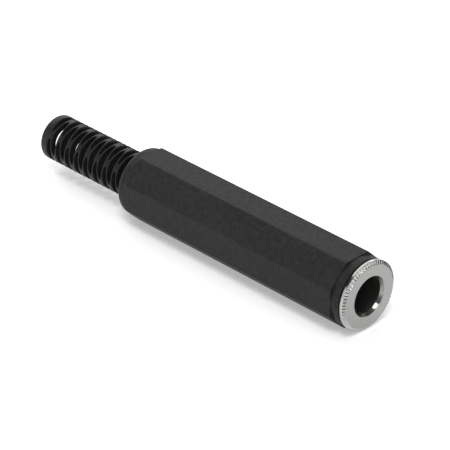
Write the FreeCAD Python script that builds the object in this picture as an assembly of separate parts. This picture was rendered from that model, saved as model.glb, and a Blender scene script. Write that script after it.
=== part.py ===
import FreeCAD, Part
import math
import os

# In-line jack socket for a 6.35 mm plug, in millimetres.
# +X points out of the mouth, +Z up, and the origin is the centre of the mouth face.
# Everything lies behind that face, so depths are counted back from it and used as negative X.

# Plug that the socket takes
plug_radius = 3.175
plug_clearance = 0.025
plug_length = 31.0
plug_tip_length = 4.0          # from the plug's end back to the groove that the tip contact drops into
plug_ring_setback = 9.0        # from the plug's end back to the middle of its ring

# Knurled head and threaded neck, turned in one piece
countersink = 0.28             # wider than the bore
countersink_depth = 0.65
head_overhang = 0.1            # head stands out past the collar
head_thickness = 0.8
bevel_length = 0.3
bevel_rise = 0.55
knurl_teeth = 64
knurl_depth = 0.14
knurl_step = 0.04              # from the teeth up to the rim
neck_wall = 1.55               # from the bore to the middle of the thread
neck_length = 6.0              # behind the head
neck_chamfer = 0.35
spigot_wall = 0.58

# Octagonal barrel
mouth_wall = 1.07              # from the thread to the collar's outside
collar_step = 0.08             # from the collar up to the facets
corner_rounding = 0.35
head_gap = 0.35                # dark groove between head and collar
lip_step = 0.3                 # depth of that groove
collar_length = 1.6
rear_ramp_length = 0.7
rear_band_length = 0.7
rear_rounding = 1.1
rear_rounding_steps = 3
rear_wall = 1.8
thread_depth = 4.6             # length of the barrel's threaded mouth
cavity_step = 0.1              # from the thread out to the cavity

# Bend relief, a slotted sleeve held by a flange behind the barrel's rear wall
cable_room_radius = 2.7
relief_length = 20.85          # outside the barrel
relief_wall = 1.28
relief_end_chamfer = 0.3
relief_flange_thickness = 1.0
relief_room = 1.5             # from the frame's clamp to the flange
relief_flange_margin = 0.33    # flange passes through the barrel's thread
slots_per_ring = 3
slot_ring_pitch = 1.1525
slot_width = 1.2
slot_half_angle = 52.0
slot_first_centre = 2.06       # from the sleeve's open end
slot_last_reach = 0.25         # the last slots run this far into the barrel's rear wall
slot_row_angle = 53.0          # a row of bridges, turned from +Z towards -Y

# Steel frame that joins the head, the contacts and the cable clamp
sheet = 0.8
frame_ring_setback = 0.25      # ring lies within the thread's middle
rail_setback = 0.1             # rails lie within the ring
rail_width = 0.95
plug_tip_room = 3.3            # from the plug's tip to the platform that carries the contacts
platform_length = 7.2
platform_margin = 0.6          # wider than the wafers on each side
window_rounding = 1.2
tongue_half_width = 1.0
tongue_flat = 1.1
tongue_drop_length = 1.8
clamp_spread = 0.2             # open around the cable until it is crimped
clamp_length = 2.3
clamp_half_angle = 105.0
eye_radius = 0.5               # solder eyes

# Contact stack
wafer_thickness = 0.5
wafer_half_width = 2.6
wafer_front_setback = 0.6      # behind the front edge of the platform
wafer_length = 6.0
spring_thickness = 0.3
spring_root_half_width = 2.1
spring_end_half_width = 1.2
spring_end_length = 2.6        # past the point that meets the plug
spring_bend_radius = 0.45
tag_side = 1.45                # solder tags stand to one side, clear of the tongue
tag_width = 1.95
tag_length = 3.2               # behind the wafers
eye_margin = 1.0               # from a tag's end to its eye
tip_blade_inset = 0.025        # blade's middle, within the plug's surface
tip_dimple_inset = 1.325
tip_end_inset = 0.275
ring_blade_rise = 0.325        # blade's middle, clear of the plug's surface
ring_dimple_inset = 0.225
dimple_half_length = 1.6
blade_rise_length = 2.1
blade_taper_length = 3.1
rivet_radius = 0.75
rivet_head_width = 0.6
rivet_head_height = 0.4
rivet_pitch = 3.2
rivet_bush_wall = 0.4

# Clearances
turning_clearance = 0.08       # between pieces that turn in each other
seat_clearance = 0.03          # between pieces that are fastened together
face_clearance = 0.05          # between faces that part when the barrel is unscrewed
cutting_room = 1.0             # cutters reach this far past what they cut

# Radii worked out from the bore outwards
bore_radius = plug_radius + plug_clearance
countersink_radius = bore_radius + countersink
spigot_radius = bore_radius + spigot_wall
neck_radius = bore_radius + neck_wall
thread_bore_radius = neck_radius + turning_clearance
cavity_radius = thread_bore_radius + cavity_step
collar_radius = thread_bore_radius + mouth_wall
lip_radius = collar_radius - lip_step
head_radius = collar_radius + head_overhang
head_face_radius = head_radius - bevel_rise
apothem = collar_radius + collar_step
corner_radius = apothem / math.cos(math.pi / 8)
outside = corner_radius + cutting_room
relief_radius = cable_room_radius + relief_wall
relief_flange_radius = thread_bore_radius - relief_flange_margin
frame_ring_radius = neck_radius - frame_ring_setback
rail_outside = frame_ring_radius - rail_setback
rail_inside = rail_outside - rail_width
clamp_radius = cable_room_radius + clamp_spread
rivet_head_radius = rivet_radius + rivet_head_width
rivet_bush_half_width = rivet_radius + seat_clearance + rivet_bush_wall
platform_half_width = wafer_half_width + platform_margin

# Places along the axis, from the mouth backwards
lip_front = -head_thickness - face_clearance
collar_front = -head_thickness - head_gap
octagon_front = collar_front - collar_length
neck_rear = -head_thickness - neck_length
frame_ring_rear = neck_rear - sheet
tip_contact_place = -plug_length + plug_tip_length
ring_contact_place = -plug_length + plug_ring_setback
platform_front = -plug_length - plug_tip_room
platform_rear = platform_front - platform_length
wafer_front = platform_front - wafer_front_setback
wafer_rear = wafer_front - wafer_length
wafer_middle = (wafer_front + wafer_rear) / 2
rivet_places = [wafer_middle + rivet_pitch / 2, wafer_middle - rivet_pitch / 2]
tongue_end = platform_rear - tongue_flat
clamp_front = tongue_end - tongue_drop_length
clamp_rear = clamp_front - clamp_length
relief_front = clamp_rear - relief_room
rear_wall_front = relief_front - relief_flange_thickness - face_clearance
barrel_rear = rear_wall_front - rear_wall
relief_rear = barrel_rear - relief_length

# Heights in the contact stack
inner_wafer_base = sheet / 2
spring_base = inner_wafer_base + wafer_thickness
outer_wafer_base = spring_base + spring_thickness
stack_top = outer_wafer_base + wafer_thickness
spring_middle = spring_base + spring_thickness / 2

AXIS = FreeCAD.Vector(1, 0, 0)
ORIGIN = FreeCAD.Vector(0, 0, 0)


def on_profile(x, radius):
    """A point of a turned outline, drawn in the upper half of the XZ plane."""
    return FreeCAD.Vector(x, 0, radius)


def lines(points):
    """Straight edges through the points, in order."""
    return [Part.makeLine(a, b) for a, b in zip(points, points[1:])]


def turned_polygon(points):
    """A turned solid from the (x, radius) pairs of its closed outline."""
    corners = [on_profile(x, radius) for x, radius in points]
    return Part.Face(Part.Wire(lines(corners + corners[:1]))).revolve(ORIGIN, AXIS, 360)


def around_axis(shape, angle):
    """A copy of the shape, turned about the X axis."""
    copy = shape.copy()
    copy.rotate(ORIGIN, AXIS, angle)
    return copy


def rod_z(x, radius, bottom, top):
    """An upright rod on the centre plane."""
    return Part.makeCylinder(radius, top - bottom, FreeCAD.Vector(x, 0, bottom))


def flat_block(x_rear, x_front, half_width, bottom, top):
    """A block centred on the XZ plane."""
    corner = FreeCAD.Vector(x_rear, -half_width, bottom)
    return Part.makeBox(x_front - x_rear, 2 * half_width, top - bottom, corner)


def round_upright_edges(shape, radius, keep=lambda centre: True):
    """Fillets the edges that run along Z and whose centre passes the test."""
    chosen = []
    for edge in shape.Edges:
        if len(edge.Vertexes) != 2:
            continue
        step = edge.Vertexes[1].Point - edge.Vertexes[0].Point
        upright = abs(step.x) < 1e-6 and abs(step.y) < 1e-6
        if upright and keep(edge.CenterOfMass):
            chosen.append(edge)
    return shape.makeFillet(radius, chosen)


def rounded_path(points, radius):
    """A wire through the points with every bend rounded to the radius."""
    edges = []
    start = points[0]
    for before, corner, after in zip(points, points[1:], points[2:]):
        back = (before - corner).normalize()
        ahead = (after - corner).normalize()
        half = back.getAngle(ahead) / 2
        reach = radius / math.tan(half)
        first = corner + back * reach
        last = corner + ahead * reach
        towards_centre = (back + ahead).normalize()
        centre = corner + towards_centre * (radius / math.sin(half))
        edges.append(Part.makeLine(start, first))
        edges.append(Part.Arc(first, centre - towards_centre * radius, last).toShape())
        start = last
    edges.append(Part.makeLine(start, points[-1]))
    return Part.Wire(edges)


def bent_sheet(points, thickness, half_width, bend_radius):
    """A strip of sheet whose middle follows the (x, z) points, centred on the XZ plane."""
    path = rounded_path([FreeCAD.Vector(x, 0, z) for x, z in points], bend_radius)
    start, following = points[0], points[1]
    along = FreeCAD.Vector(following[0] - start[0], 0, following[1] - start[1]).normalize()
    across = FreeCAD.Vector(-along.z, 0, along.x) * (thickness / 2)
    side = FreeCAD.Vector(0, half_width, 0)
    base = FreeCAD.Vector(start[0], 0, start[1])
    corners = [base + across + side, base + across - side, base - across - side, base - across + side]
    section = Part.makePolygon(corners + corners[:1])
    return path.makePipeShell([section], True, False)


def head_bush():
    """The knurled head, its threaded neck and the bore that takes the plug, turned from one bar."""
    body = turned_polygon([
        (-bevel_length, 0),
        (-bevel_length, head_radius),
        (-head_thickness, head_radius),
        (-head_thickness, neck_radius),
        (neck_rear + neck_chamfer, neck_radius),
        (neck_rear, neck_radius - neck_chamfer),
        (neck_rear, spigot_radius),
        (frame_ring_rear, spigot_radius),
        (frame_ring_rear, 0),
    ])
    bore = turned_polygon([
        (cutting_room, 0),
        (cutting_room, countersink_radius),
        (0, countersink_radius),
        (-countersink_depth, bore_radius),
        (frame_ring_rear - cutting_room, bore_radius),
        (frame_ring_rear - cutting_room, 0),
    ])
    return body.fuse(knurled_bevel()).cut(bore)


def knurl_outline(x, crest_radius):
    """The toothed outline at one depth, with as many crests as roots."""
    root_radius = crest_radius * (1 - knurl_depth / head_radius)
    points = []
    for corner in range(2 * knurl_teeth):
        angle = math.pi * corner / knurl_teeth
        radius = crest_radius if corner % 2 == 0 else root_radius
        points.append(FreeCAD.Vector(x, radius * math.sin(angle), radius * math.cos(angle)))
    return points + points[:1]


def knurled_bevel():
    """The bevel of the head: V-shaped teeth that run from the face out to the rim.

    Both outlines are the same shape at two sizes, so every flank between them is flat."""
    front = knurl_outline(0, head_face_radius)
    rear = knurl_outline(-bevel_length, head_radius - knurl_step)
    sides = []
    for a, b, c, d in zip(front, front[1:], rear[1:], rear):
        sides.append(Part.Face(Part.makePolygon([a, b, c, d, a])))
    ends = [Part.Face(Part.makePolygon(front)), Part.Face(Part.makePolygon(rear))]
    return Part.Solid(Part.Shell(sides + ends))


def octagon_bar():
    """The octagonal bar that the barrel's facets lie on, with a flat underneath."""
    corners = []
    for corner in range(9):
        angle = math.radians(22.5 + 45 * corner)
        corners.append(FreeCAD.Vector(barrel_rear, corner_radius * math.cos(angle), corner_radius * math.sin(angle)))
    bar = Part.Face(Part.makePolygon(corners)).extrude(AXIS * (lip_front - barrel_rear))
    long_edges = [edge for edge in bar.Edges if edge.Length > 2 * corner_radius]
    return bar.makeFillet(corner_rounding, long_edges)


def barrel_envelope():
    """The turned form that trims the octagon to a round collar in front and a round shoulder behind."""
    ramp_front = barrel_rear + rear_rounding + rear_band_length + rear_ramp_length
    band_front = ramp_front - rear_ramp_length
    rounding_front = barrel_rear + rear_rounding
    outline = [
        (barrel_rear, 0),
        (lip_front, 0),
        (lip_front, lip_radius),
        (collar_front, lip_radius),
        (collar_front, collar_radius),
        (octagon_front, collar_radius),
        (octagon_front, outside),
        (ramp_front + (outside - corner_radius), outside),
        (band_front, collar_radius),
    ]
    for step in range(rear_rounding_steps + 1):
        angle = math.pi / 2 * step / rear_rounding_steps
        outline.append((
            rounding_front - rear_rounding * math.sin(angle),
            collar_radius - rear_rounding * (1 - math.cos(angle)),
        ))
    return turned_polygon(outline)


def barrel():
    """The moulded octagonal barrel with its threaded mouth, its cavity and the hole for the relief."""
    hole_radius = relief_radius + turning_clearance
    thread_rear = lip_front - thread_depth
    hollow = turned_polygon([
        (lip_front + cutting_room, 0),
        (lip_front + cutting_room, thread_bore_radius),
        (thread_rear, thread_bore_radius),
        (thread_rear, cavity_radius),
        (rear_wall_front, cavity_radius),
        (rear_wall_front, hole_radius),
        (barrel_rear - cutting_room, hole_radius),
        (barrel_rear - cutting_room, 0),
    ])
    return octagon_bar().common(barrel_envelope()).cut(hollow)


def slot_cutter():
    """A wedge that cuts one slot through the relief's wall, at x = 0 and on the +Z side.

    Its two flat sides meet below the wall, so that they leave a lens-shaped slot in the round outside."""
    root = relief_radius * math.cos(math.radians(slot_half_angle))
    top = relief_radius + cutting_room
    half_width = slot_width / 2 * (top - root) / (relief_radius - root)
    corners = [
        FreeCAD.Vector(0, -relief_radius, root),
        FreeCAD.Vector(half_width, -relief_radius, top),
        FreeCAD.Vector(-half_width, -relief_radius, top),
    ]
    side = Part.Face(Part.makePolygon(corners + corners[:1]))
    return side.extrude(FreeCAD.Vector(0, 2 * relief_radius, 0))


def relief_slots():
    """All slots: rings of three, each ring turned by half a step from the one before."""
    cutter = slot_cutter()
    step = 360.0 / slots_per_ring
    room = relief_length - slot_first_centre - slot_width / 2 + slot_last_reach
    rings = int(room / slot_ring_pitch) + 1
    slots = []
    for ring in range(rings):
        for slot in range(slots_per_ring):
            angle = slot_row_angle + step * (slot + 0.5 * (ring + 1))
            copy = around_axis(cutter, angle)
            copy.translate(AXIS * (relief_rear + slot_first_centre + ring * slot_ring_pitch))
            slots.append(copy)
    return slots


def bend_relief():
    """The soft sleeve that keeps the cable from kinking, with the flange that holds it in the barrel."""
    flange_rear = rear_wall_front + face_clearance
    sleeve = turned_polygon([
        (relief_rear, cable_room_radius),
        (relief_front, cable_room_radius),
        (relief_front, relief_flange_radius),
        (flange_rear, relief_flange_radius),
        (flange_rear, relief_radius),
        (relief_rear + relief_end_chamfer, relief_radius),
        (relief_rear, relief_radius - relief_end_chamfer),
    ])
    return sleeve.cut(Part.makeCompound(relief_slots()))


def sleeve_frame():
    """The pressed frame: a ring on the head's spigot, two rails, the platform, a tongue and the cable clamp."""
    ring = Part.makeCylinder(frame_ring_radius, sheet, FreeCAD.Vector(frame_ring_rear, 0, 0), AXIS)
    fork = flat_block(platform_front - window_rounding, neck_rear, rail_outside, -sheet / 2, sheet / 2)
    platform = flat_block(platform_rear, platform_front, platform_half_width, -sheet / 2, sheet / 2)
    platform = round_upright_edges(platform, window_rounding, lambda centre: centre.x < platform_front - 1)
    window = flat_block(platform_front, frame_ring_rear, rail_inside, -sheet, sheet)
    window = round_upright_edges(window, window_rounding, lambda centre: centre.x < frame_ring_rear - 1)
    clamp_middle = -clamp_radius - sheet / 2
    tongue = bent_sheet([
        (platform_rear + sheet, 0),
        (tongue_end, 0),
        (clamp_front, clamp_middle),
        (clamp_rear, clamp_middle),
    ], sheet, tongue_half_width, sheet)
    clamp_base = FreeCAD.Vector(clamp_rear, 0, 0)
    shell = Part.makeCylinder(clamp_radius + sheet, clamp_length, clamp_base, AXIS)
    shell = shell.cut(Part.makeCylinder(clamp_radius, clamp_length, clamp_base, AXIS))
    reach = 2 * clamp_radius
    opening_half_angle = math.radians(180 - clamp_half_angle)
    spread = reach * math.tan(opening_half_angle)
    opening_corners = [
        FreeCAD.Vector(clamp_rear, 0, 0),
        FreeCAD.Vector(clamp_rear, spread, reach),
        FreeCAD.Vector(clamp_rear, -spread, reach),
        FreeCAD.Vector(clamp_rear, 0, 0),
    ]
    mouth = Part.Face(Part.makePolygon(opening_corners)).extrude(AXIS * clamp_length)
    clamp = shell.cut(mouth)
    frame = ring.fuse([fork, platform, tongue, clamp]).cut(window)
    eye = rod_z(platform_rear - tongue_flat / 2, eye_radius, -sheet, sheet)
    seat_base = FreeCAD.Vector(frame_ring_rear, 0, 0)
    seat = Part.makeCylinder(spigot_radius + seat_clearance, sheet, seat_base, AXIS)
    return frame.cut([seat, eye] + bush_holes()).removeSplitter()


def square_post(x, half_width, bottom, top):
    """An upright post with a square section on the centre plane."""
    return flat_block(x - half_width, x + half_width, half_width, bottom, top)


def bush_holes():
    """The square holes for the rivet bushes, through the whole stack."""
    half_width = rivet_bush_half_width + seat_clearance
    return [square_post(x, half_width, -outside, outside) for x in rivet_places]


def wafer(base, holes):
    """One insulating wafer of the stack, lying on the given height."""
    plate = flat_block(wafer_rear, wafer_front, wafer_half_width, base, base + wafer_thickness)
    return plate.cut(holes)


def spring_blank(free_end):
    """The plan outline of a contact spring: solder tag, clamped root and tapered blade."""
    tag_end = wafer_rear - tag_length
    tag_outer = tag_side + tag_width
    taper_end = wafer_front + blade_taper_length
    corners = [
        (tag_end, tag_side),
        (wafer_rear, tag_side),
        (wafer_rear, -spring_root_half_width),
        (wafer_front, -spring_root_half_width),
        (taper_end, -spring_end_half_width),
        (free_end, -spring_end_half_width),
        (free_end, spring_end_half_width),
        (taper_end, spring_end_half_width),
        (wafer_front, spring_root_half_width),
        (wafer_rear + tag_outer - spring_root_half_width, spring_root_half_width),
        (wafer_rear, tag_outer),
        (tag_end, tag_outer),
    ]
    points = [FreeCAD.Vector(x, y, -outside) for x, y in corners]
    blank = Part.Face(Part.makePolygon(points + points[:1])).extrude(FreeCAD.Vector(0, 0, 2 * outside))
    eye_centre = FreeCAD.Vector(tag_end + eye_margin, tag_side + tag_width / 2, -outside)
    eye = Part.makeCylinder(eye_radius, 2 * outside, eye_centre)
    return blank.cut([eye] + bush_holes())


def contact_spring(contact, blade_height, dimple_height, end_height):
    """A contact spring on the upper side: it rises from the stack and dips to meet the plug."""
    middle_line = [
        (wafer_rear - tag_length, spring_middle),
        (wafer_front + spring_bend_radius / 2, spring_middle),
        (wafer_front + blade_rise_length, blade_height),
        (contact - dimple_half_length, blade_height),
        (contact, dimple_height),
        (contact + dimple_half_length, end_height),
    ]
    strip = bent_sheet(middle_line, spring_thickness, tag_side + tag_width, spring_bend_radius)
    return strip.common(spring_blank(contact + spring_end_length))


def tip_spring():
    """The upper spring, which drops into the groove behind the plug's tip."""
    blade_height = plug_radius - tip_blade_inset
    dimple_height = plug_radius - tip_dimple_inset
    return contact_spring(tip_contact_place, blade_height, dimple_height, plug_radius - tip_end_inset)


def ring_spring():
    """The lower spring, which bears on the plug's ring; it is the same blank turned over."""
    blade_height = plug_radius + ring_blade_rise
    dimple_height = plug_radius - ring_dimple_inset
    upright = contact_spring(ring_contact_place, blade_height, dimple_height, blade_height)
    return around_axis(upright, 180)


def rivet_bush(x):
    """The square insulating bush that keeps a rivet clear of the springs and the frame, and them from turning."""
    post = square_post(x, rivet_bush_half_width, -outer_wafer_base, outer_wafer_base)
    return post.cut(rod_z(x, rivet_radius + seat_clearance, -outside, outside))


def rivet(x):
    """A rivet through the stack, with a flat head at each end."""
    shank = rod_z(x, rivet_radius, -stack_top, stack_top)
    head_top = stack_top + rivet_head_height
    heads = [rod_z(x, rivet_head_radius, stack_top, head_top), rod_z(x, rivet_head_radius, -head_top, -stack_top)]
    return shank.fuse(heads).removeSplitter()


def pieces():
    """Every piece of the socket by name."""
    rivet_holes = [rod_z(x, rivet_radius + seat_clearance, -outside, outside) for x in rivet_places]
    inner_wafer = wafer(inner_wafer_base, bush_holes())
    outer_wafer = wafer(outer_wafer_base, rivet_holes)
    named = {
        "head_bush": head_bush(),
        "barrel": barrel(),
        "bend_relief": bend_relief(),
        "sleeve_frame": sleeve_frame(),
        "tip_spring": tip_spring(),
        "ring_spring": ring_spring(),
        "tip_wafer_inner": inner_wafer,
        "tip_wafer_outer": outer_wafer,
        "ring_wafer_inner": around_axis(inner_wafer, 180),
        "ring_wafer_outer": around_axis(outer_wafer, 180),
    }
    for place, x in zip(["front", "rear"], rivet_places):
        named[place + "_rivet"] = rivet(x)
        named[place + "_rivet_bush"] = rivet_bush(x)
    return named


os.makedirs("parts", exist_ok=True)
for name, shape in pieces().items():
    solids = shape.Solids
    box = shape.BoundBox
    print(f"{name}: solids {len(solids)}, valid {shape.isValid()}, volume {shape.Volume:.2f} mm3, "
          f"x {box.XMin:.2f} to {box.XMax:.2f}, z {box.ZMin:.2f} to {box.ZMax:.2f}")
    piece = solids[0] if len(solids) == 1 else shape
    piece.exportStep(f"parts/{name}.step")
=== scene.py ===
import math
from functools import cached_property

import bmesh
import bpy
from mathutils import Matrix, Vector


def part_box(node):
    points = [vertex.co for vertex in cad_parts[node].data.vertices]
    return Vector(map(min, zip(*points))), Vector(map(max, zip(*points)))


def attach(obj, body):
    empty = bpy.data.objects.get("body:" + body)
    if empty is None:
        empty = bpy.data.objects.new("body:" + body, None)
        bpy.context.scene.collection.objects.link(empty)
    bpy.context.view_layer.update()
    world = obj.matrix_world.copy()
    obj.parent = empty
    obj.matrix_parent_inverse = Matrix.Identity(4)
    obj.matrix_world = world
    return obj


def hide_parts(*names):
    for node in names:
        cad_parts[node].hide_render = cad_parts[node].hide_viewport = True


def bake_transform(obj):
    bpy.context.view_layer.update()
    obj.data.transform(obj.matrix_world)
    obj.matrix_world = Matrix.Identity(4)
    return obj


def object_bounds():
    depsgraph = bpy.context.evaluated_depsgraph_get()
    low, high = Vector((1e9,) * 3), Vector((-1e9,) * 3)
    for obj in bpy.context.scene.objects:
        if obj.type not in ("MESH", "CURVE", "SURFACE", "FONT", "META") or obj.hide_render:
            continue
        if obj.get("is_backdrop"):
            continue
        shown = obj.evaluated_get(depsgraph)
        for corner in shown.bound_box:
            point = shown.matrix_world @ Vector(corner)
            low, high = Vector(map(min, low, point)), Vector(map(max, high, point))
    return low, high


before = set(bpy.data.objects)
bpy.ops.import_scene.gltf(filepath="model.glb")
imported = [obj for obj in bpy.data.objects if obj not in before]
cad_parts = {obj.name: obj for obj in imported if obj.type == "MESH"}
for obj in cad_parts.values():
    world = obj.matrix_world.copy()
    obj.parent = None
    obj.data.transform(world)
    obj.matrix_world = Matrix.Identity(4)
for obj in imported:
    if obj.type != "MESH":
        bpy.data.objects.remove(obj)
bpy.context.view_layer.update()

# In-line jack socket, in metres: knurled nickel head, octagonal black barrel, slotted bend relief.
# +X points out of the mouth, +Z up, and the origin is the centre of the mouth face.

MM = 0.001
AXIS = Vector((1, 0, 0))
CENTRE = Vector((0, 0, 0))
SAME_PLACE = 1e-7                   # corners nearer to each other than this are one
ON_THE_CUT = 1e-8                   # corners nearer to a cutting plane than this lie on it

# Lowest and highest corners of the solids that new pieces replace
head_low, head_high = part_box("head_bush")
barrel_low, barrel_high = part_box("barrel")
relief_low, relief_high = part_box("bend_relief")

# Knurled head
head_radius = head_high.z
head_thickness = 0.80 * MM
bevel_length = 0.3 * MM
bevel_rise = 0.55 * MM
bevel_rows = (0.08, 0.3, 0.7, 0.97)  # rings of corners across the bevel, as shares of its width
knurl_teeth = 64
knurl_depth = 0.14 * MM
knurl_sharpness = 1.5
knurl_at_face = 0.3                 # share of a groove's depth that the mouth face's edge takes
corners_per_tooth = 8
countersink_depth = 0.65 * MM
countersink = 0.28 * MM
bore_radius = 3.2 * MM
spigot_wall = 0.58 * MM
spigot_radius = bore_radius + spigot_wall
spigot_rear = head_low.x
neck_length = 6.0 * MM
neck_rear = -head_thickness - neck_length
neck_chamfer = 0.3 * MM
rim_softening = 0.05 * MM

# Where the head's finishes begin and where they are full: by place along X, or by radius
face_finish = (-0.03 * MM, -0.01 * MM)
mouth_finish = (bore_radius + countersink + 0.02 * MM, bore_radius + countersink)
rim_finish = (-bevel_length, -bevel_length - 0.1 * MM)
countersink_finish = (-countersink_depth - 0.05 * MM, -countersink_depth)

# Thread between neck and barrel
thread_pitch = 1.0 * MM
male_root = 4.57 * MM
male_crest = 4.92 * MM
female_root = 4.97 * MM
female_crest = 4.60 * MM
thread_base_half = 0.38 * MM
thread_tip_half = 0.09 * MM
thread_sunk = 0.06 * MM             # how far the thread's foot lies inside its carrier
thread_steps_per_turn = 72
neck_thread_front = -1.6 * MM
neck_thread_rear = neck_rear + 0.6 * MM
mouth_thread_inset = 0.5 * MM       # from each end of the barrel's threaded part

# Barrel
facets = 8
facet_angle = 2 * math.pi / facets
apothem = 5.98 * MM
corner_radius = apothem / math.cos(facet_angle / 2)
trim_room = 0.3 * MM                # how far the turned outline stands past the octagon's corners
collar_step = 0.08 * MM
collar_radius = apothem - collar_step
lip_step = 0.3 * MM
lip_radius = collar_radius - lip_step
lip_front = barrel_high.x
head_gap = 0.35 * MM
collar_front = -head_thickness - head_gap
collar_length = 1.6 * MM
octagon_front = collar_front - collar_length
barrel_rear = barrel_low.x
rear_rounding = 1.1 * MM
rear_rounding_steps = 10
rear_band_length = 0.7 * MM
rear_ramp_length = 0.7 * MM
edge_softening = 0.06 * MM
corner_rounding = 0.35 * MM
corner_least_length = 20 * MM       # only the octagon's corners are longer
corner_least_angle = math.radians(30)
rear_wall = 1.8 * MM
cavity_radius = 4.93 * MM
cavity_chamfer = 0.35 * MM
thread_depth = 4.6 * MM
thread_rear = lip_front - thread_depth
mouth_chamfer = 0.1 * MM
relief_clearance = 0.08 * MM
barrel_steps = 240

# Bend relief
relief_radius = 3.98 * MM
relief_wall = 1.28 * MM
relief_bore = relief_radius - relief_wall
relief_rear = relief_low.x
relief_front = relief_high.x
flange_radius = relief_high.z
flange_thickness = 1.0 * MM
flange_rear = relief_front - flange_thickness
flange_margin = 0.1 * MM            # clear of the flange's rear face, on either side of it
slot_pitch = 1.1525 * MM
slot_width = 1.12 * MM
slot_half_angle = math.radians(52)
slot_first_centre = 2.06 * MM
slot_rings = 17
slots_per_ring = 3
slot_end_power = 0.42
slot_columns = 14
bridge_columns = 3
slot_row_angle = math.radians(53)
skin_depth = 0.3 * MM               # what lies no deeper than this belongs to the outer face
skin_merge = 0.004 * MM
rib_softening = 0.1 * MM
rib_least_angle = math.radians(60)
relief_end_rounding = 0.35 * MM
end_widening = 0.22 * MM            # the cable's room is wider in the relief's open end
end_depth = 2.9 * MM
end_taper = 0.8 * MM

# Contact springs: cut across where they flex, from the front of the wafers that clamp them
bend_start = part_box("tip_wafer_inner")[1].x
bend_length = 2.4 * MM
bend_cuts = 12
flat_angle = math.radians(0.5)

# Studio
floor_half_width = 1.5
floor_glow = 0.36
world_level = 0.3
lamp_distance = 0.5
lamp_target = Vector((-0.036, 0, 0))
lamps = (                           # name, direction from the target, width, level on the object
    ("key_box", (0.27, -0.355, 0.90), 0.18, 0.45),
    ("rear_box", (-0.60, 0.35, 0.72), 0.6, 0.68),
    ("front_box", (0.90, 0.35, 0.25), 0.2, 0.08),
)
camera_azimuth = math.radians(44.894)
camera_elevation = math.radians(31.14)
camera_lens = 205.1
camera_place = (0.21908, -0.25147, 0.21396)


class Channel:
    """A number, colour or vector that flows between shader nodes; arithmetic on it adds nodes."""

    def __init__(self, shader, socket):
        self.shader = shader
        self.socket = socket

    def maths(self, operation, *values):
        return self.shader.add("ShaderNodeMath", {"operation": operation}, *values)

    def __add__(self, other):
        return self.maths("ADD", self, other)

    def __sub__(self, other):
        return self.maths("SUBTRACT", self, other)

    def __rsub__(self, other):
        return self.maths("SUBTRACT", other, self)

    def __mul__(self, other):
        return self.maths("MULTIPLY", self, other)

    def __pow__(self, other):
        return self.maths("POWER", self, other)

    def __rpow__(self, other):
        return self.maths("POWER", other, self)

    __radd__ = __add__
    __rmul__ = __mul__

    def step(self, start, full):
        """0 before start and 1 past full, smooth between them; full may be the lower number."""
        settings = {"interpolation_type": "SMOOTHSTEP"}
        return self.shader.add("ShaderNodeMapRange", settings, self, start, full, 0, 1)

    def clamped(self):
        return self.shader.add("ShaderNodeClamp", {}, self, 0, 1)


class Shader:
    """The nodes of one material, or of the world."""

    def __init__(self, owner, surface="Principled BSDF"):
        owner.use_nodes = True
        self.owner = owner
        self.tree = owner.node_tree
        self.surface = self.tree.nodes[surface]

    @cached_property
    def place(self):
        """The object's own coordinates."""
        return self.add("ShaderNodeTexCoord", {}, output="Object")

    def add(self, kind, settings, *values, output=0, **named):
        """A node: its settings first, then values or links for its inputs, in order or by name."""
        node = self.tree.nodes.new(kind)
        for key, value in settings.items():
            setattr(node, key, value)
        for key, value in [*enumerate(values), *named.items()]:
            self.feed(node.inputs[key.replace("_", " ") if isinstance(key, str) else key], value)
        return Channel(self, node.outputs[output])

    def feed(self, target, value):
        if isinstance(value, Channel):
            self.tree.links.new(value.socket, target)
        else:
            target.default_value = value

    def axes(self):
        """The object's X, Y and Z as three numbers."""
        outputs = self.add("ShaderNodeSeparateXYZ", {}, self.place).socket.node.outputs
        return [Channel(self, outputs[i]) for i in range(3)]

    def shown(self):
        """1 for rays from the camera, in reflections and through glass, 0 for all others."""
        outputs = self.add("ShaderNodeLightPath", {}).socket.node.outputs
        names = ("Is Camera Ray", "Is Glossy Ray", "Is Transmission Ray")
        direct, reflected, transmitted = [Channel(self, outputs[name]) for name in names]
        return (direct + reflected + transmitted).clamped()

    def noise(self, scale, detail=2.0, roughness=0.5, place=None):
        return self.add("ShaderNodeTexNoise", {}, Vector=place or self.place, Scale=scale, Detail=detail,
                        Roughness=roughness)

    def along(self, number):
        """A vector that changes with one number only."""
        return self.add("ShaderNodeCombineXYZ", {}, number, 0, 0)

    def stretched(self, scale):
        """Object coordinates scaled by the three numbers."""
        return self.add("ShaderNodeMapping", {}, Vector=self.place, Scale=scale)

    def blend(self, factor, first, second):
        """A colour between two colours."""
        node = self.tree.nodes.new("ShaderNodeMix")
        node.data_type = "RGBA"
        colours = [s for s in node.inputs if s.type == "RGBA"]
        self.feed(node.inputs["Factor"], factor)
        self.feed(colours[0], first)
        self.feed(colours[1], second)
        return Channel(self, [s for s in node.outputs if s.type == "RGBA"][0])

    def bump(self, height, distance):
        return self.add("ShaderNodeBump", {}, Height=height, Distance=distance)

    def finish(self, **inputs):
        for name, value in inputs.items():
            self.feed(self.surface.inputs[name.replace("_", " ")], value)
        return self.owner


def new_finish(name):
    """The shader of a new material."""
    return Shader(bpy.data.materials.new(name))


def grey(value, tint=(1, 1, 1)):
    """A grey, or with a tint a colour close to it."""
    return (value * tint[0], value * tint[1], value * tint[2], 1)


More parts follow.
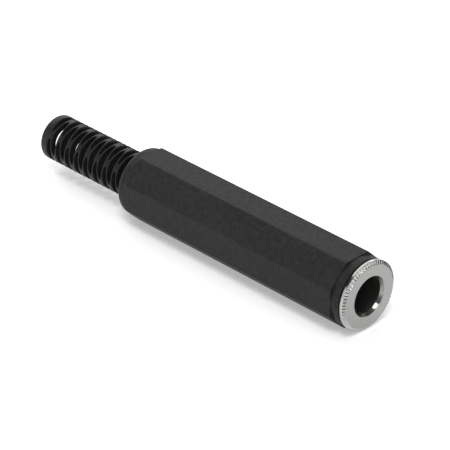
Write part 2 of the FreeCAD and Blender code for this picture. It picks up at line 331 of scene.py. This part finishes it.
def satin_nickel():
    """Nickel plate: satin on the mouth face, polished on the rim, finely turned in the countersink."""
    s = new_finish("satin_nickel")
    x, y, z = s.axes()
    radius = (y * y + z * z) ** 0.5
    face = x.step(*face_finish)
    mouth = radius.step(*mouth_finish)
    rim = x.step(*rim_finish)
    opening = x.step(*countersink_finish)
    outside = (1 - face) * (1 - mouth)
    grooved = mouth * (1 - face) * opening
    bored = mouth * (1 - opening)
    rings = s.noise(9000, detail=2, roughness=0.6, place=s.along(radius))
    grooves = s.noise(25000, detail=1, roughness=0.5, place=s.along(x))
    blotch = s.noise(350, detail=3)
    colour = s.blend(blotch, grey(0.41, (1, 0.99, 0.965)), grey(0.47, (1, 0.99, 0.97)))
    colour = s.blend(face, colour, grey(0.345, (1, 0.995, 0.98)))
    roughness = 0.1 + face * 0.3 + grooved * 0.07 + bored * 0.2
    roughness = roughness + outside * (rim * 0.07 + 0.03) + blotch * 0.04
    normal = s.bump(rings * face + blotch * 0.2 + grooves * grooved * 30, 0.0008 * MM)
    return s.finish(Base_Color=colour, Metallic=1.0, Roughness=roughness, Normal=normal)


def moulded_black():
    """Matte moulded plastic with a fine spark-eroded grain."""
    s = new_finish("moulded_black")
    grain = s.noise(6500, detail=4, roughness=0.65)
    cloud = s.noise(160, detail=3)
    mottle = s.noise(1300, detail=4, roughness=0.75)
    colour = s.blend((cloud * 0.5 + mottle * 1.5 - 0.5).clamped(), grey(0.009), grey(0.037))
    return s.finish(Base_Color=colour, Roughness=0.5 + cloud * 0.08 + grain * 0.08,
                    Normal=s.bump(grain + mottle * 2, 0.012 * MM), Specular_IOR_Level=0.18)


def soft_black():
    """Glossier soft plastic of the bend relief."""
    s = new_finish("soft_black")
    flow = s.noise(900, detail=3, roughness=0.55, place=s.stretched((0.4, 1, 1)))
    cloud = s.noise(220, detail=2)
    colour = s.blend(cloud, grey(0.008), grey(0.013))
    return s.finish(Base_Color=colour, Roughness=0.4 + flow * 0.14,
                    Normal=s.bump(flow, 0.006 * MM), Specular_IOR_Level=0.3)


def tinned_steel():
    """Tin-plated sheet with rolling marks along its length."""
    s = new_finish("tinned_steel")
    rolled = s.noise(5000, detail=3, roughness=0.6, place=s.stretched((0.05, 1, 1)))
    bloom = s.noise(500, detail=3)
    colour = s.blend(bloom, grey(0.56), grey(0.68, (1, 0.995, 0.98)))
    return s.finish(Base_Color=colour, Metallic=1.0, Roughness=0.24 + rolled * 0.14 + bloom * 0.06,
                    Normal=s.bump(rolled, 0.004 * MM))


def spring_bronze():
    """Bright spring strip, slightly dulled in patches."""
    s = new_finish("spring_bronze")
    rolled = s.noise(5000, detail=3, roughness=0.6, place=s.stretched((0.05, 1, 1)))
    dulled = s.noise(400, detail=3)
    colour = s.blend(dulled, (0.55, 0.40, 0.20, 1), (0.74, 0.60, 0.36, 1))
    return s.finish(Base_Color=colour, Metallic=1.0, Roughness=0.18 + dulled * 0.16,
                    Normal=s.bump(rolled, 0.003 * MM))


def brown_laminate():
    """Resin-bonded paper board: layers show on its cut edges, fibres on its faces."""
    s = new_finish("brown_laminate")
    layers = s.add("ShaderNodeTexWave", {"bands_direction": "Z"}, Vector=s.place, Scale=1600.0,
                   Distortion=2.0, Detail=2.0)
    fibres = s.noise(2500, detail=4, roughness=0.7, place=s.stretched((1, 0.3, 1)))
    colour = s.blend(fibres * 0.6 + layers * 0.4, (0.16, 0.065, 0.022, 1), (0.36, 0.17, 0.07, 1))
    return s.finish(Base_Color=colour, Roughness=0.42 + fibres * 0.2, Normal=s.bump(fibres, 0.006 * MM))


def bright_brass():
    """Turned brass of the rivets."""
    s = new_finish("bright_brass")
    stain = s.noise(700, detail=3)
    colour = s.blend(stain, (0.62, 0.46, 0.20, 1), (0.83, 0.69, 0.40, 1))
    return s.finish(Base_Color=colour, Metallic=1.0, Roughness=0.2 + stain * 0.18,
                    Normal=s.bump(stain, 0.004 * MM))


def natural_nylon():
    """Milky plastic of the rivet bushes."""
    s = new_finish("natural_nylon")
    cloud = s.noise(600, detail=3)
    colour = s.blend(cloud, (0.70, 0.67, 0.58, 1), (0.82, 0.80, 0.73, 1))
    return s.finish(Base_Color=colour, Roughness=0.35 + cloud * 0.15, Normal=s.bump(cloud, 0.005 * MM))


def pale_floor():
    """Matte white floor that reads as white to the camera and in reflections, and keeps the shadow."""
    s = new_finish("pale_floor")
    mottle = s.noise(30, detail=2)
    colour = s.blend(mottle, grey(0.88), grey(0.9))
    return s.finish(Base_Color=colour, Roughness=0.9, Emission_Strength=floor_glow,
                    Emission_Color=s.blend(s.shown(), grey(0), grey(1)))


def linked(name, data):
    """A new object in the scene."""
    thing = bpy.data.objects.new(name, data)
    bpy.context.scene.collection.objects.link(thing)
    return thing


def mesh_object(name, mesh, material):
    """An object from a finished bmesh."""
    data = bpy.data.meshes.new(name)
    mesh.to_mesh(data)
    mesh.free()
    data.materials.append(material)
    return linked(name, data)


def new_piece(name, mesh, body, material, smooth_angle):
    """A piece of the socket, which rides on its body; where body is None, it is attached to no body."""
    piece = mesh_object(name, mesh, material)
    piece.data.shade_smooth()
    piece.data.set_sharp_from_angle(angle=math.radians(smooth_angle))
    if body:
        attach(piece, body)
    return piece


def outline(mesh, points):
    """Corners and edges of a closed outline, drawn through (x, radius) points in the XZ plane."""
    corners = [mesh.verts.new((x, 0, radius)) for x, radius in points]
    return corners, [mesh.edges.new(pair) for pair in zip(corners, corners[1:] + corners[:1])]


def arc(centre, radius, start, end, steps):
    """Points on an arc in (x, radius); angles in degrees, 0 towards +X and 90 outwards."""
    points = []
    for step in range(steps + 1):
        angle = math.radians(start + (end - start) * step / steps)
        points.append((centre[0] + radius * math.cos(angle), centre[1] + radius * math.sin(angle)))
    return points


def turned(points, steps):
    """A closed turned mesh from its closed outline."""
    mesh = bmesh.new()
    corners, edges = outline(mesh, points)
    bmesh.ops.spin(mesh, geom=corners + edges, cent=CENTRE, axis=AXIS, angle=2 * math.pi, steps=steps,
                   use_merge=True)
    bmesh.ops.remove_doubles(mesh, verts=mesh.verts, dist=SAME_PLACE)
    bmesh.ops.recalc_face_normals(mesh, faces=mesh.faces)
    return mesh


def around_radius(vertex):
    """How far a corner stands from the axis."""
    return math.hypot(vertex.co.y, vertex.co.z)


def lies_outside(part, radius):
    """Whether an edge or a face lies wholly outside a radius."""
    return min(around_radius(v) for v in part.verts) > radius


def lies_at(part, x):
    """Whether all corners of an edge or a face lie at one place along the axis."""
    return all(abs(v.co.x - x) < SAME_PLACE for v in part.verts)


def corners_in(geometry):
    """The corners in a mixed list of corners, edges and faces."""
    return [g for g in geometry if isinstance(g, bmesh.types.BMVert)]


def cut_through(mesh, place, outward, clear_outer=False):
    """Cuts a mesh at a plane, and returns the edges of the cut."""
    everything = [*mesh.verts, *mesh.edges, *mesh.faces]
    cut = bmesh.ops.bisect_plane(mesh, geom=everything, dist=ON_THE_CUT, plane_co=place,
                                 plane_no=outward, clear_outer=clear_outer)
    return [g for g in cut["geom_cut"] if isinstance(g, bmesh.types.BMEdge)]


def round_off(mesh, edges, offset, segments):
    """Rounds edges with a bevel."""
    bmesh.ops.bevel(mesh, geom=edges, offset=offset, segments=segments, profile=0.5, affect="EDGES",
                    material=-1)


def grown(mesh, faces):
    """Extrudes faces, removes the ones left inside, and returns the new corners."""
    made = bmesh.ops.extrude_face_region(mesh, geom=faces)["geom"]
    bmesh.ops.delete(mesh, geom=faces, context="FACES")
    return corners_in(made)


def knurl_row(mesh, row, depth_along, depth_inward):
    """Presses the grooves between the teeth into one ring of corners, given as (x, radius)."""
    for vertex in mesh.verts:
        radius = around_radius(vertex)
        if abs(vertex.co.x - row[0]) > SAME_PLACE or abs(radius - row[1]) > SAME_PLACE:
            continue
        tooth = math.atan2(vertex.co.z, vertex.co.y) / (2 * math.pi) * knurl_teeth
        groove = knurl_depth * (0.5 - 0.5 * math.cos(2 * math.pi * tooth)) ** knurl_sharpness
        share = 1 - groove * depth_inward / radius
        vertex.co = (vertex.co.x - groove * depth_along, vertex.co.y * share, vertex.co.z * share)


def knurled_head():
    """Head, neck and spigot in one turned piece, with teeth pressed into the bevel."""
    face_radius = head_radius - bevel_rise
    soft = rim_softening
    rows = [(-bevel_length * share, face_radius + bevel_rise * share) for share in bevel_rows]
    points = [
        (0, bore_radius + countersink),
        (0, face_radius - 3 * soft),
        (0, face_radius - soft),
        *rows,
        (-bevel_length, head_radius - soft),
        (-bevel_length - soft, head_radius),
        (-head_thickness + soft, head_radius),
        (-head_thickness, head_radius - soft),
        (-head_thickness, male_root),
        (neck_rear + neck_chamfer, male_root),
        (neck_rear, male_root - neck_chamfer),
        (neck_rear, spigot_radius),
        (spigot_rear, spigot_radius),
        (spigot_rear, bore_radius),
        (-countersink_depth, bore_radius),
    ]
    mesh = turned(points, knurl_teeth * corners_per_tooth)
    slope = math.hypot(bevel_rise, bevel_length)
    knurl_row(mesh, (0, face_radius - soft), 0, knurl_at_face)
    for row in rows:
        knurl_row(mesh, row, bevel_rise / slope, bevel_length / slope)
    piece = new_piece("knurled_head", mesh, "insert", NICKEL, smooth_angle=12)
    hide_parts("head_bush")


def thread(name, front, rear, foot, tip, body, material, phase):
    """One start of a screw thread: a ridge from foot to tip radius, wound about the axis."""
    mesh = bmesh.new()
    points = [
        (rear - thread_base_half, foot),
        (rear - thread_tip_half, tip),
        (rear + thread_tip_half, tip),
        (rear + thread_base_half, foot),
    ]
    corners, edges = outline(mesh, points)
    section = mesh.faces.new(corners)
    turns = (front - rear) / thread_pitch
    steps = round(turns * thread_steps_per_turn)
    step_along = AXIS * (thread_pitch * turns / steps)
    bmesh.ops.rotate(mesh, verts=corners, cent=CENTRE, matrix=Matrix.Rotation(phase, 3, AXIS))
    bmesh.ops.spin(mesh, geom=[*corners, *edges, section], cent=CENTRE, axis=AXIS, dvec=step_along,
                   angle=2 * math.pi * turns, steps=steps)
    bmesh.ops.recalc_face_normals(mesh, faces=mesh.faces)
    new_piece(name, mesh, body, material, smooth_angle=35)


def octagonal_barrel():
    """The turned outside and inside in one outline, trimmed to the eight facets."""
    soft = edge_softening
    outside = corner_radius + trim_room
    band_front = barrel_rear + rear_rounding + rear_band_length
    ramp_front = band_front + rear_ramp_length
    ramp_past_corner = rear_ramp_length * (outside - corner_radius) / (corner_radius - collar_radius)
    hole_radius = relief_radius + relief_clearance
    cavity_rear = barrel_rear + rear_wall
    shoulder_centre = (barrel_rear + rear_rounding, collar_radius - rear_rounding)
    points = [
        (lip_front, female_root + mouth_chamfer),
        (lip_front, lip_radius - soft),
        (lip_front - soft, lip_radius),
        (collar_front, lip_radius),
        (collar_front, collar_radius - soft),
        (collar_front - soft, collar_radius),
        (octagon_front, collar_radius),
        (octagon_front, outside),
        (ramp_front + ramp_past_corner, outside),
        (band_front, collar_radius),
        *arc(shoulder_centre, rear_rounding, 90, 180, rear_rounding_steps),
        (barrel_rear, hole_radius + soft),
        (barrel_rear + soft, hole_radius),
        (cavity_rear, hole_radius),
        (cavity_rear, cavity_radius - cavity_chamfer),
        (cavity_rear + cavity_chamfer, cavity_radius),
        (thread_rear, cavity_radius),
        (thread_rear, female_root),
        (lip_front - mouth_chamfer, female_root),
    ]
    mesh = turned(points, barrel_steps)
    for facet in range(facets):
        angle = facet_angle * facet
        outward = Vector((0, math.sin(angle), math.cos(angle)))
        rim = cut_through(mesh, outward * apothem, outward, clear_outer=True)
        bmesh.ops.contextual_create(mesh, geom=rim)
    bmesh.ops.remove_doubles(mesh, verts=mesh.verts, dist=SAME_PLACE)
    corner_edges = [e for e in mesh.edges
                    if e.calc_length() > corner_least_length
                    and around_radius(e.verts[0]) > collar_radius
                    and e.calc_face_angle(0) > corner_least_angle]
    round_off(mesh, corner_edges, corner_rounding * math.tan(facet_angle / 2), segments=4)
    bmesh.ops.recalc_face_normals(mesh, faces=mesh.faces)
    piece = new_piece("octagonal_barrel", mesh, "barrel", MOULDED_BLACK, smooth_angle=25)
    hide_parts("barrel")


def slot_half_width(angle):
    """Half the width of a slot at an angle from its middle: a lens with blunt ends."""
    return slot_width / 2 * max(0, 1 - (angle / slot_half_angle) ** 2) ** slot_end_power


def rib_middle(angle):
    """How far from a ring's centre the middle of its ribs runs, halfway to the next ring's slots."""
    step = math.pi / slots_per_ring
    return (slot_half_width(angle) + slot_pitch - slot_half_width(step - angle)) / 2


def column_angles():
    """Angles of the columns from a slot's middle to the side of its cell.

    They are the same counted from either end, and lie closer together where slots end.
    """
    step = math.pi / slots_per_ring
    bridge = step - slot_half_angle
    near = [bridge * column / bridge_columns for column in range(bridge_columns)]
    middle = [step / 2 - (step / 2 - bridge) * math.cos(math.pi * column / slot_columns)
              for column in range(slot_columns + 1)]
    return near + middle + [step - angle for angle in reversed(near)]


def slotted_skin():
    """The sleeve's outer face, unrolled: Y is the angle about the axis and X the place along it."""
    angles = column_angles()
    columns = len(angles) - 1
    open_share = (bridge_columns + slot_columns) / columns
    mesh = bmesh.new()
    bmesh.ops.create_grid(mesh, x_segments=3, y_segments=2 * columns, size=1)
    side = mesh.verts.layers.int.new("side")
    between_rows = 0.5              # the grid's rows stand at 1/3 and at 1, on either side
    opened = [f for f in mesh.faces if abs(f.calc_center_median().x) < between_rows
              and abs(f.calc_center_median().y) < open_share]
    for vertex in mesh.verts:
        angle = angles[round(abs(vertex.co.y) * columns)]
        outermost = abs(vertex.co.x) > between_rows
        reach = rib_middle(angle) if outermost else slot_half_width(angle)
        vertex[side] = round(math.copysign(1, vertex.co.x)) if outermost else 0
        vertex.co = (math.copysign(reach, vertex.co.x), math.copysign(angle, vertex.co.y), 0)
    bmesh.ops.delete(mesh, geom=opened, context="FACES")
    cell = [*mesh.verts, *mesh.edges, *mesh.faces]
    for ring in range(slot_rings):
        for slot in range(slots_per_ring):
            corners = corners_in(bmesh.ops.duplicate(mesh, geom=cell)["geom"])
            along = relief_rear + slot_first_centre + ring * slot_pitch
            turn = slot_row_angle + math.pi / slots_per_ring * (2 * slot + ring + 1)
            bmesh.ops.translate(mesh, verts=corners, vec=(along, turn, 0))
            for vertex in corners:
                if ring == 0 and vertex[side] < 0:
                    vertex.co.x = relief_rear
                elif ring == slot_rings - 1 and vertex[side] > 0:
                    vertex.co.x = flange_rear
    bmesh.ops.delete(mesh, geom=corners_in(cell), context="VERTS")
    return mesh


def cable_room(x):
    """Radius of the cable's room: wider in the open end, where light comes through the first slots."""
    shut = (x - relief_rear - end_depth) / end_taper
    return relief_bore + end_widening * (1 - min(1, max(0, shut)))


def bend_relief():
    """The slotted sleeve with its rounded end and the flange that holds it in the barrel."""
    mid_wall = relief_radius - skin_depth
    mesh = slotted_skin()
    for vertex in mesh.verts:
        turn = vertex.co.y
        vertex.co = (vertex.co.x, -relief_radius * math.sin(turn), relief_radius * math.cos(turn))
    bmesh.ops.remove_doubles(mesh, verts=mesh.verts, dist=skin_merge)
    inner = bmesh.ops.extrude_face_region(mesh, geom=mesh.faces[:], use_keep_orig=True)["geom"]
    for vertex in corners_in(inner):
        share = cable_room(vertex.co.x) / relief_radius
        vertex.co = (vertex.co.x, vertex.co.y * share, vertex.co.z * share)

    end_ring = [f for f in mesh.faces if lies_at(f, flange_rear)]
    bmesh.ops.translate(mesh, verts=grown(mesh, end_ring), vec=(flange_thickness, 0, 0))
    flange_side = [f for f in mesh.faces if lies_outside(f, mid_wall)
                   and f.calc_center_median().x > flange_rear + flange_margin]
    share = flange_radius / relief_radius
    bmesh.ops.scale(mesh, verts=grown(mesh, flange_side), vec=(1, share, share))
    bmesh.ops.recalc_face_normals(mesh, faces=mesh.faces)

    rear_rim = [e for e in mesh.edges if lies_outside(e, mid_wall) and lies_at(e, relief_rear)]
    round_off(mesh, rear_rim, relief_end_rounding, segments=5)
    ribs_rear = relief_rear + relief_end_rounding
    ribs_front = flange_rear - flange_margin
    rib_edges = [e for e in mesh.edges if lies_outside(e, mid_wall)
                 and ribs_rear < e.verts[0].co.x < ribs_front
                 and e.calc_face_angle(0) > rib_least_angle]
    round_off(mesh, rib_edges, rib_softening, segments=3)
    piece = new_piece("slotted_relief", mesh, "relief", SOFT_BLACK, smooth_angle=50)
    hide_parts("bend_relief")


def contact(node):
    """A contact spring from its solid's faces, cut across in front of its clamped root."""
    mesh = bmesh.new()
    mesh.from_mesh(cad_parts[node].data)
    bmesh.ops.remove_doubles(mesh, verts=mesh.verts, dist=SAME_PLACE)
    bmesh.ops.dissolve_limit(mesh, angle_limit=flat_angle, verts=mesh.verts, edges=mesh.edges)
    for cut in range(bend_cuts + 1):
        cut_through(mesh, (bend_start + bend_length * cut / bend_cuts, 0, 0), AXIS)
    piece = new_piece(node + "_strip", mesh, None, BRONZE, smooth_angle=30)
    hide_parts(node)
    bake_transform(piece)


def repaint(nodes, material):
    """Gives solids that keep their shape a better material."""
    for name in nodes:
        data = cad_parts[name].data
        data.materials.clear()
        data.materials.append(material)


def aim(thing, place, direction, front):
    """Puts a thing of the studio in its place, with its front axis turned along a direction."""
    thing.location = place
    thing.rotation_mode = "QUATERNION"
    thing.rotation_quaternion = Vector(direction).to_track_quat(front, "Y")


def lamp(name, direction, width, level):
    """A square lamp; white that faces it shows at its level, where 1 is full white."""
    light = bpy.data.lights.new(name, "AREA")
    light.shape = "SQUARE"
    light.size = width
    light.energy = level * (math.pi * lamp_distance) ** 2
    place = lamp_target + Vector(direction).normalized() * lamp_distance
    aim(linked(name, light), place, lamp_target - place, "-Z")


def dark_card(name, material, place, facing, size):
    """A black card of the studio that only shows in reflections."""
    mesh = bmesh.new()
    bmesh.ops.create_grid(mesh, x_segments=1, y_segments=1, size=0.5)
    bmesh.ops.scale(mesh, verts=mesh.verts, vec=(*size, 1))
    card = mesh_object(name, mesh, material)
    aim(card, place, facing, "Z")
    for ray in ("camera", "diffuse", "transmission", "volume_scatter", "shadow"):
        setattr(card, "visible_" + ray, False)
    card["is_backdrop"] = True


def studio():
    """Floor, world, lamps and the camera at the photograph's angle."""
    mesh = bmesh.new()
    bmesh.ops.create_grid(mesh, x_segments=1, y_segments=1, size=floor_half_width)
    bmesh.ops.translate(mesh, verts=mesh.verts, vec=(0, 0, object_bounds()[0].z))
    ground = mesh_object("floor", mesh, pale_floor())
    ground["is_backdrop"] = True

    world = bpy.data.worlds.new("studio")
    bpy.context.scene.world = world
    s = Shader(world, "Background")
    s.finish(Color=grey(1), Strength=s.shown() * (1 - world_level) + world_level)

    for name, direction, width, level in lamps:
        lamp(name, direction, width, level)
    black = new_finish("black_card").finish(Base_Color=grey(0.01), Roughness=1.0)
    dark_card("ceiling_card", black, place=(0, 0, 0.9), facing=(0, 0, 1), size=(3, 3))
    dark_card("front_card", black, place=(0.5, 0.85, 0.15), facing=(0.5, 0.85, 0), size=(0.7, 0.5))
    dark_card("side_card", black, place=(0.12, -0.6, 0.24), facing=(0.12, -0.6, 0.24), size=(0.5, 0.25))

    camera = bpy.data.cameras.new("camera")
    camera.lens = camera_lens
    camera.sensor_width = 36
    camera.clip_start = 0.01
    camera.clip_end = 10
    level_part = math.cos(camera_elevation)
    back = Vector((math.sin(camera_azimuth) * level_part, -math.cos(camera_azimuth) * level_part,
                   math.sin(camera_elevation)))
    view = linked("camera", camera)
    aim(view, camera_place, -back, "-Z")
    bpy.context.scene.camera = view
    bpy.context.scene.view_settings.view_transform = "Standard"


NICKEL = satin_nickel()
MOULDED_BLACK = moulded_black()
SOFT_BLACK = soft_black()
BRONZE = spring_bronze()

repaint(["sleeve_frame"], tinned_steel())
repaint(["tip_wafer_inner", "tip_wafer_outer", "ring_wafer_inner", "ring_wafer_outer"], brown_laminate())
repaint(["front_rivet", "rear_rivet"], bright_brass())
repaint(["front_rivet_bush", "rear_rivet_bush"], natural_nylon())
knurled_head()
thread("neck_thread", neck_thread_front, neck_thread_rear, male_root - thread_sunk, male_crest,
       "insert", NICKEL, phase=0)
thread("mouth_thread", lip_front - mouth_thread_inset, thread_rear + mouth_thread_inset,
       female_root + thread_sunk, female_crest, "barrel", MOULDED_BLACK, phase=math.pi)
octagonal_barrel()
bend_relief()
contact("tip_spring")
contact("ring_spring")
studio()
